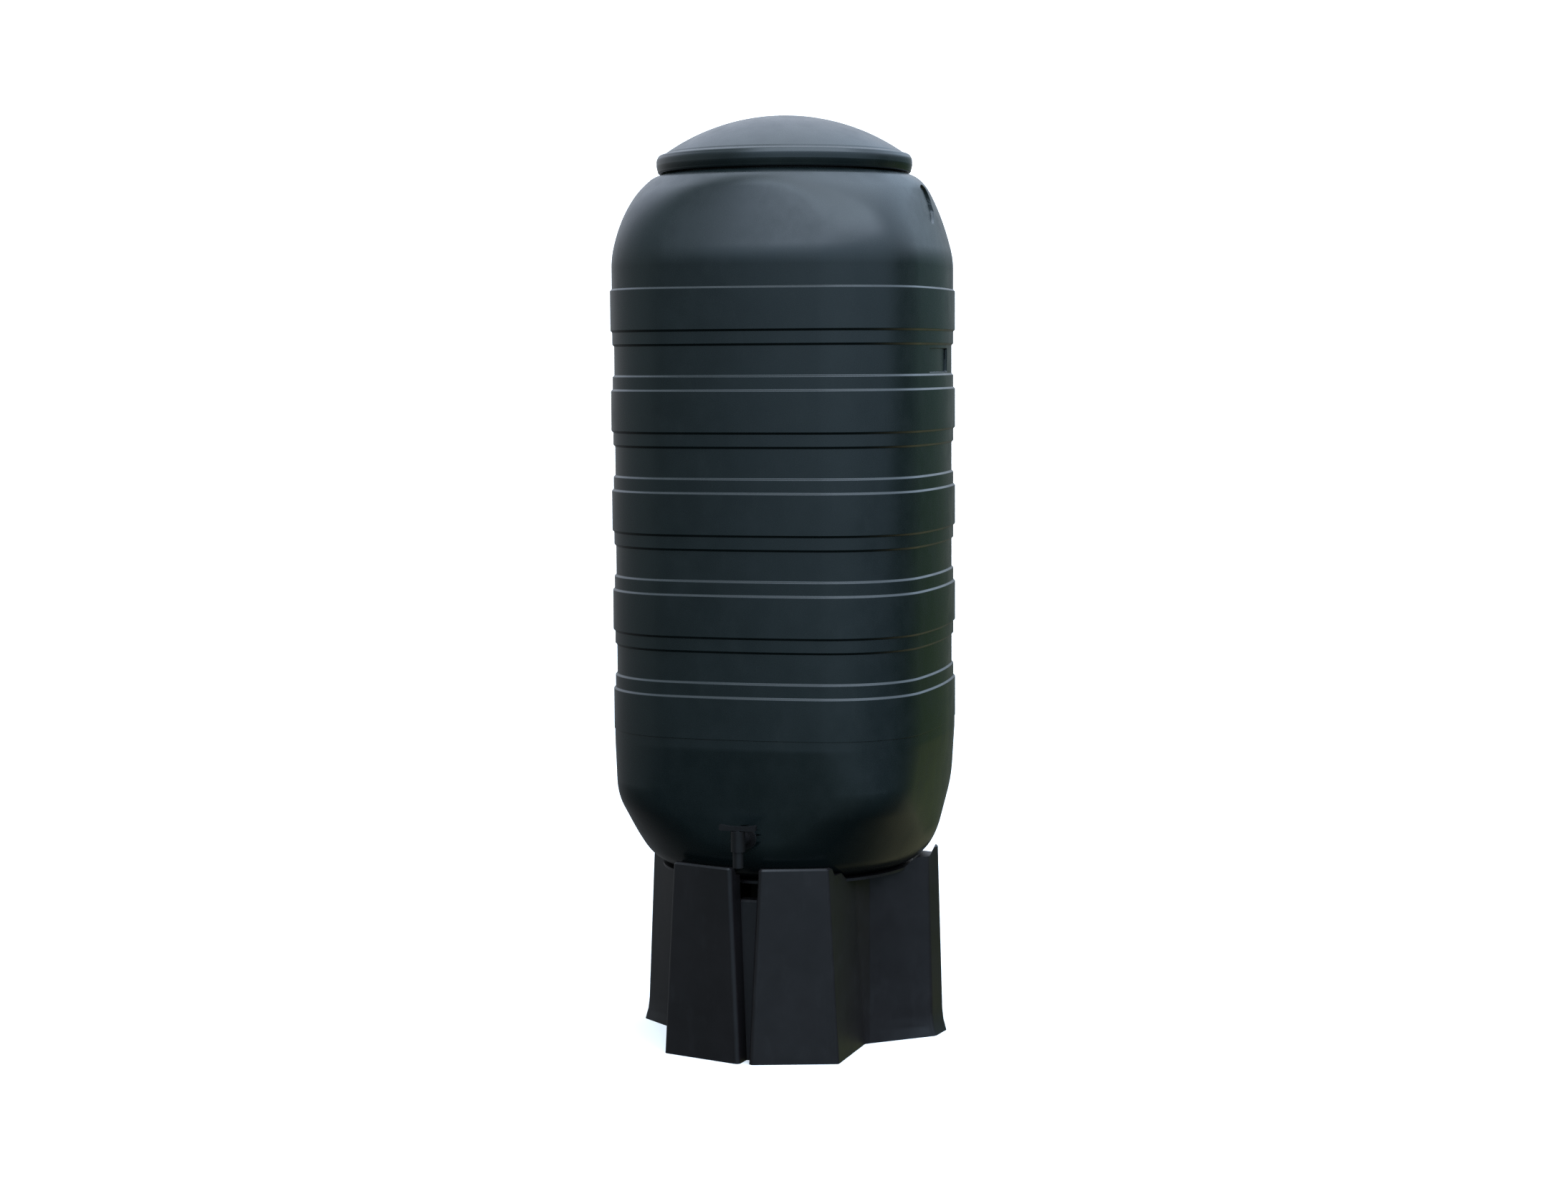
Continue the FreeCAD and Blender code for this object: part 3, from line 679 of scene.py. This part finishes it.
def soften(piece, width, segments):
    """Rounds the edges of a moulded piece."""
    weld = piece.modifiers.new("weld", "WELD")
    weld.merge_threshold = 0.02 * MM
    bevel = piece.modifiers.new("bevel", "BEVEL")
    bevel.width = width
    bevel.segments = segments
    bevel.limit_method = "ANGLE"
    bevel.angle_limit = math.radians(28.0)
    bevel.harden_normals = False
    even = piece.modifiers.new("even", "WEIGHTED_NORMAL")
    even.keep_sharp = True


for piece in (barrel_wall, barrel_shoulder, barrel_base, lid_cover):
    dress(piece, materials["barrel_plastic"])
# Painted shade in the upper part of the two hand holds
paint_grip_shade(barrel_wall)

# The frame's own pieces by how their names begin: material, and width and steps of their edges
finishes = (("tap_washer", "washer_rubber", 0.5 * MM, 3), ("tap_", "tap_plastic", 0.5 * MM, 3),
            ("stand_leg", "stand_plastic", 2.4 * MM, 4),
            ("stand_groove", "stand_plastic", 2.4 * MM, 4), ("stand_", "stand_plastic", 0.0, 0),
            ("lid_", "barrel_plastic", 0.0, 0), ("neck_", "barrel_plastic", 0.0, 0),
            ("barrel_", "barrel_plastic", 0.0, 0))
for name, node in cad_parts.items():
    for beginning, material, width, segments in finishes:
        if name.startswith(beginning):
            dress(node, materials[material])
            if width:
                soften(node, width, segments)
            break


# Floor, backdrop, room light and camera

def stage_piece(name, places, faces, low, high, glow):
    """A pale piece of the studio that the camera sees and the object doesn't mirror."""
    piece = mesh_object(name, places, faces)
    nodes = Nodes(name + "_paint")
    colour = nodes.mix(nodes.spread(nodes.noise(3.0), 0.0, 1.0), low, high)
    nodes.link(colour, nodes.shader.inputs["Base Color"])
    nodes.shader.inputs["Roughness"].default_value = 0.9
    nodes.shader.inputs["Specular IOR Level"].default_value = 0.0
    nodes.link(colour, nodes.shader.inputs["Emission Color"])
    nodes.shader.inputs["Emission Strength"].default_value = glow
    dress(piece, nodes.material)
    piece.visible_glossy = False
    piece.visible_diffuse = False
    return piece


def make_stage():
    """A pale floor and a paler round wall behind it that casts no shadow."""
    reach, height, sink, count = 9.0, 9.0, 0.01, 48
    places = [(x * reach, y * reach, 0.0) for x, y in ((-1, -1), (1, -1), (1, 1), (-1, 1))]
    stage_piece("floor", places, [(0, 1, 2, 3)], (0.80, 0.80, 0.80), (0.82, 0.82, 0.82), 0.35)
    ring = [(reach * math.cos(angle), reach * math.sin(angle))
            for angle in np.linspace(0.0, 2.0 * math.pi, count, endpoint=False)]
    places = [(x, y, z) for z in (-sink, height) for x, y in ring]
    faces = [(i, (i + 1) % count, count + (i + 1) % count, count + i) for i in range(count)]
    backdrop = stage_piece("backdrop", places, faces, (0.97, 0.97, 0.97), (0.99, 0.99, 0.99), 1.0)
    backdrop.visible_shadow = False


# The room's light by direction: rows of elevation in degrees and colour, for four parts of the room
light_strength = 6.0
dim_side = ((-90, (0.01, 0.01, 0.01)), (-15, (0.05, 0.06, 0.06)), (-8, (0.20, 0.24, 0.25)),
            (2, (0.34, 0.43, 0.46)), (30, (0.48, 0.62, 0.72)), (50, (0.60, 0.76, 0.88)),
            (90, (1.60, 1.90, 2.20)))
bright_side = ((-90, (0.01, 0.01, 0.01)), (-20, (0.10, 0.13, 0.12)), (-10, (0.18, 0.26, 0.28)),
               (-3, (0.40, 0.54, 0.66)), (2, (0.58, 0.80, 0.98)), (15, (0.85, 1.16, 1.48)),
               (24, (1.28, 1.68, 2.12)), (34, (2.90, 3.50, 4.30)), (50, (3.50, 4.30, 5.20)),
               (90, (2.60, 3.10, 3.70)))
shaded_side = ((-90, (0.03, 0.03, 0.02)), (-45, (0.22, 0.22, 0.14)), (-20, (0.24, 0.25, 0.15)),
               (-9, (0.07, 0.11, 0.03)), (-3, (0.05, 0.09, 0.05)), (2, (0.10, 0.17, 0.17)),
               (6, (0.18, 0.26, 0.29)), (14, (0.74, 0.94, 1.16)), (25, (1.20, 1.54, 1.92)),
               (45, (1.45, 1.82, 2.28)), (90, (2.40, 2.90, 3.50)))
back_side = ((-90, (0.01, 0.01, 0.01)), (-10, (0.14, 0.15, 0.16)), (0, (0.34, 0.36, 0.38)),
             (15, (0.75, 0.82, 0.94)), (35, (1.15, 1.30, 1.56)), (90, (2.20, 2.60, 3.10)))
# How much each of them counts, round the barrel from behind its left: azimuth and share
room_parts = (
    (dim_side, ((-180, 0.6), (-160, 1.0), (-126, 1.0), (-98, 0.0), (150, 0.0), (180, 0.6))),
    (bright_side, ((-180, 0.0), (-126, 0.0), (-98, 1.0), (-12, 1.0), (22, 0.0))),
    (shaded_side, ((-12, 0.0), (22, 1.0), (72, 1.0), (100, 0.0))),
    (back_side, ((-180, 0.4), (-160, 0.0), (72, 0.0), (100, 1.0), (150, 1.0), (180, 0.4))))
# Dark clumps near the ground: azimuth and the light that is left, and the heights where they thin
clumps = (
    (((-180, 1.0), (-150, 1.0), (-134, 0.62), (-112, 0.58), (-97, 0.80), (-84, 1.0)), 6, 16),
    (((-54, 1.0), (-34, 0.60), (-18, 0.32), (24, 0.32), (44, 1.0)), -9, 2))


def make_world():
    """A room lit from a bright side, dim on its left and shaded behind its right."""
    world = bpy.data.worlds.new("studio")
    bpy.context.scene.world = world
    world.use_nodes = True
    tree = world.node_tree

    def node(kind, **settings):
        made = tree.nodes.new(kind)
        for name, value in settings.items():
            setattr(made, name, value)
        return made

    def ranged(source, low, high):
        made = node("ShaderNodeMapRange")
        made.inputs["From Min"].default_value = low
        made.inputs["From Max"].default_value = high
        tree.links.new(source, made.inputs["Value"])
        return made.outputs["Result"]

    def gradient(source, stops, smooth):
        made = node("ShaderNodeValToRGB")
        made.color_ramp.interpolation = "EASE" if smooth else "LINEAR"
        steps = made.color_ramp.elements
        for index, (where, colour) in enumerate(stops):
            step = (steps[0], steps[-1])[index] if index < 2 else steps.new(where)
            step.position = where
            step.color = (*colour, 1.0)
        tree.links.new(source, made.inputs["Fac"])
        return made.outputs["Color"]

    def mixed(kind, first, second):
        made = node("ShaderNodeVectorMath", operation=kind)
        tree.links.new(first, made.inputs[0])
        tree.links.new(second, made.inputs[1])
        return made.outputs["Vector"]

    def by_height(rows):
        return [(0.5 + 0.5 * math.sin(math.radians(elevation)),
                 [part / light_strength for part in colour]) for elevation, colour in rows]

    def by_azimuth(rows):
        return [((azimuth + 180.0) / 360.0, (share, share, share)) for azimuth, share in rows]

    parts = node("ShaderNodeSeparateXYZ")
    tree.links.new(node("ShaderNodeTexCoord").outputs["Generated"], parts.inputs["Vector"])
    height = ranged(parts.outputs["Z"], -1.0, 1.0)
    turn = node("ShaderNodeMath", operation="ARCTAN2")
    tree.links.new(parts.outputs["Y"], turn.inputs[0])
    tree.links.new(parts.outputs["X"], turn.inputs[1])
    azimuth = ranged(turn.outputs["Value"], -math.pi, math.pi)
    light = None
    for rows, shares in room_parts:
        part = mixed("MULTIPLY", gradient(height, by_height(rows), False),
                     gradient(azimuth, by_azimuth(shares), True))
        light = part if light is None else mixed("ADD", light, part)
    for shares, low, high in clumps:
        thinning = ((low, (0.0,) * 3), (high, (light_strength,) * 3))
        left = mixed("MAXIMUM", gradient(azimuth, by_azimuth(shares), True),
                     gradient(height, by_height(thinning), True))
        light = mixed("MULTIPLY", light, left)
    background = tree.nodes["Background"]
    background.inputs["Strength"].default_value = light_strength
    tree.links.new(light, background.inputs["Color"])


def make_camera():
    """The photograph's viewpoint, as fitted to it."""
    camera = bpy.data.cameras.new("camera")
    camera.sensor_width = 36.0
    camera.lens = 64.54
    holder = bpy.data.objects.new("camera", camera)
    place = Vector((1.2575, -4.4613 + axis_y, 1.112))
    right = Vector((0.96234, 0.27178, -0.00568))
    up = Vector((-0.01779, 0.08384, 0.99632))
    forward = Vector((-0.27126, 0.95870, -0.08551))
    turn = Matrix((right, up, -forward)).transposed()
    holder.matrix_world = Matrix.Translation(place) @ turn.to_4x4()
    bpy.context.scene.collection.objects.link(holder)
    bpy.context.scene.camera = holder


make_stage()
make_world()
make_camera()
bpy.context.scene.view_settings.view_transform = "Standard"
